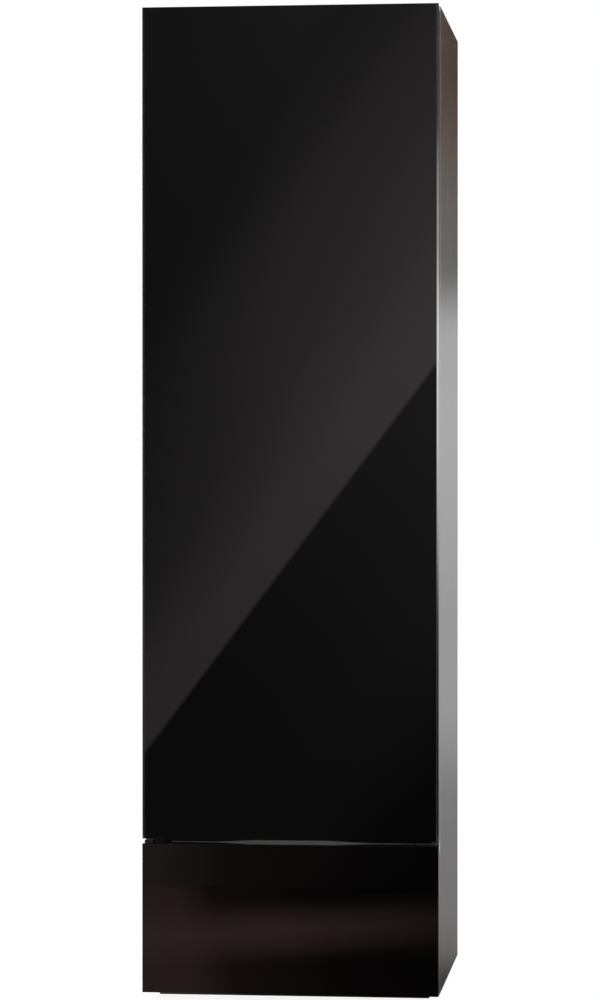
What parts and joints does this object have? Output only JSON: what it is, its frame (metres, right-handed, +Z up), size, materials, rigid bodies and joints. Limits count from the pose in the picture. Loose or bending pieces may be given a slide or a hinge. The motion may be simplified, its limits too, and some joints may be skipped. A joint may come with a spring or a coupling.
{
  "type": "clothes drying cabinet",
  "caption": "Tall free-standing clothes drying cabinet: black glass door over a glass-fronted tank drawer, steel casing, hanging rail, folding racks and a heat-pump base.",
  "frame": {"origin": "on the floor, under the middle of the cabinet's box", "axes": "+Z up, -Y out of the glass fronts, +X to the right as seen from the front"},
  "size_m": [0.595, 0.62, 1.99],
  "materials": {
    "black_glass": "black enamelled safety glass, polished",
    "brushed_steel": "brushed stainless steel",
    "galvanised_steel": "galvanised sheet steel",
    "dark_metal": "black painted steel",
    "white_plastic": "white thermoformed plastic",
    "chrome": "bright chrome plate",
    "black_plastic": "black moulded plastic",
    "grey_plastic": "grey moulded plastic",
    "tank_plastic": "pale blue-grey moulded plastic",
    "grey_rubber": "grey magnetic seal",
    "lamp_lens": "opal lens",
    "copper": "drawn copper",
    "aluminium": "bare fin stock"
  },
  "bodies": {
    "cabinet": {"base_tray": "galvanised_steel", "plinth": "black_plastic", "side_panel_left": "brushed_steel", "side_panel_right": "brushed_steel", "top_panel": "brushed_steel", "rear_panel": "galvanised_steel", "mains_inlet": "black_plastic", "front_post_left": "galvanised_steel", "front_post_right": "galvanised_steel", "header_bar": "brushed_steel", "cross_rail": "brushed_steel", "chamber_side_left": "white_plastic", "chamber_side_right": "white_plastic", "chamber_ceiling": "white_plastic", "air_diffuser": "white_plastic", "chamber_floor": "white_plastic", "chamber_lamp": "lamp_lens", "filter_housing": "grey_plastic", "hanging_rail": "chrome", "control_fascia": "black_plastic", "control_board": "black_plastic", "air_duct": "galvanised_steel", "fan_housing": "grey_plastic", "fan_motor": "dark_metal", "drip_tray": "black_plastic", "evaporator": "aluminium", "condenser": "aluminium", "compressor": "dark_metal", "suction_pipe": "copper", "discharge_pipe": "copper", "runner_outer_left": "galvanised_steel", "runner_outer_right": "galvanised_steel", "upper_hinge": "dark_metal", "lower_hinge": "dark_metal", "upper_hinge_pin": "chrome", "lower_hinge_pin": "chrome"},
    "door": {"door_glass": "black_glass", "door_frame": "brushed_steel", "door_inner_panel": "white_plastic", "door_gasket": "grey_rubber", "lower_hinge_bush": "black_plastic", "upper_hinge_bush": "black_plastic"},
    "drawer": {"drawer_glass": "black_glass", "drawer_shell": "brushed_steel", "drawer_box": "galvanised_steel", "condensate_tank": "tank_plastic"},
    "tank_lid_body": {"tank_lid": "grey_plastic"},
    "runner_left_body": {"runner_middle_left": "chrome"},
    "runner_right_body": {"runner_middle_right": "chrome"},
    "drying_rack_body": {"drying_rack": "chrome"},
    "shoe_rack_body": {"shoe_rack": "chrome"},
    "lint_filter_body": {"lint_filter": "grey_plastic"},
    "impeller_body": {"fan_impeller": "black_plastic"},
    "knob_body": {"selector_knob": "brushed_steel"},
    "button_body": {"start_button": "brushed_steel"},
    "foot_front_left_body": {"foot_front_left": "black_plastic"},
    "foot_front_right_body": {"foot_front_right": "black_plastic"},
    "foot_rear_left_body": {"foot_rear_left": "black_plastic"},
    "foot_rear_right_body": {"foot_rear_right": "black_plastic"}
  },
  "joints": [
    {"name": "door_swing", "type": "hinge", "parent": "cabinet", "child": "door", "pos_m": [0.2855, -0.287, 1], "axis": [0, 0, 1], "range_deg": [0, 110]},
    {"name": "drawer_slide", "type": "slide", "parent": "cabinet", "child": "drawer", "axis": [0, -1, 0], "range_m": [0, 0.21]},
    {"name": "runner_left_slide", "type": "slide", "parent": "cabinet", "child": "runner_left_body", "axis": [0, -1, 0], "range_m": [0, 0.105]},
    {"name": "runner_right_slide", "type": "slide", "parent": "cabinet", "child": "runner_right_body", "axis": [0, -1, 0], "range_m": [0, 0.105]},
    {"name": "tank_lid_lift", "type": "slide", "parent": "drawer", "child": "tank_lid_body", "axis": [0, 0, 1], "range_m": [0, 0.05]},
    {"name": "drying_rack_fold", "type": "hinge", "parent": "cabinet", "child": "drying_rack_body", "pos_m": [0, 0.1878, 1.19], "axis": [-1, 0, 0], "range_deg": [0, 85]},
    {"name": "shoe_rack_fold", "type": "hinge", "parent": "cabinet", "child": "shoe_rack_body", "pos_m": [0, 0.1878, 0.6], "axis": [-1, 0, 0], "range_deg": [0, 85]},
    {"name": "lint_filter_lift", "type": "slide", "parent": "cabinet", "child": "lint_filter_body", "axis": [0, 0, 1], "range_m": [0, 0.12]},
    {"name": "fan_spin", "type": "hinge", "parent": "cabinet", "child": "impeller_body", "pos_m": [0, 0.25, 0.165], "axis": [0, 1, 0], "continuous": true},
    {"name": "selector_turn", "type": "hinge", "parent": "cabinet", "child": "knob_body", "pos_m": [-0.07, -0.24, 1.9284], "axis": [0, 1, 0], "range_deg": [0, 270]},
    {"name": "start_press", "type": "slide", "parent": "cabinet", "child": "button_body", "axis": [0, 1, 0], "range_m": [0, 0.002], "stiffness_N_per_m": 400, "springref_m": -0.001},
    {"name": "foot_front_left_turn", "type": "hinge", "parent": "cabinet", "child": "foot_front_left_body", "pos_m": [-0.2275, -0.191, 0], "axis": [0, 0, 1], "continuous": true},
    {"name": "foot_front_right_turn", "type": "hinge", "parent": "cabinet", "child": "foot_front_right_body", "pos_m": [0.2275, -0.191, 0], "axis": [0, 0, 1], "continuous": true},
    {"name": "foot_rear_left_turn", "type": "hinge", "parent": "cabinet", "child": "foot_rear_left_body", "pos_m": [-0.2275, 0.238, 0], "axis": [0, 0, 1], "continuous": true},
    {"name": "foot_rear_right_turn", "type": "hinge", "parent": "cabinet", "child": "foot_rear_right_body", "pos_m": [0.2275, 0.238, 0], "axis": [0, 0, 1], "continuous": true}
  ],
  "couplings": [
    {"joint": "runner_left_slide", "follows": "drawer_slide", "ratio": 0.5},
    {"joint": "runner_right_slide", "follows": "drawer_slide", "ratio": 0.5}
  ]
}
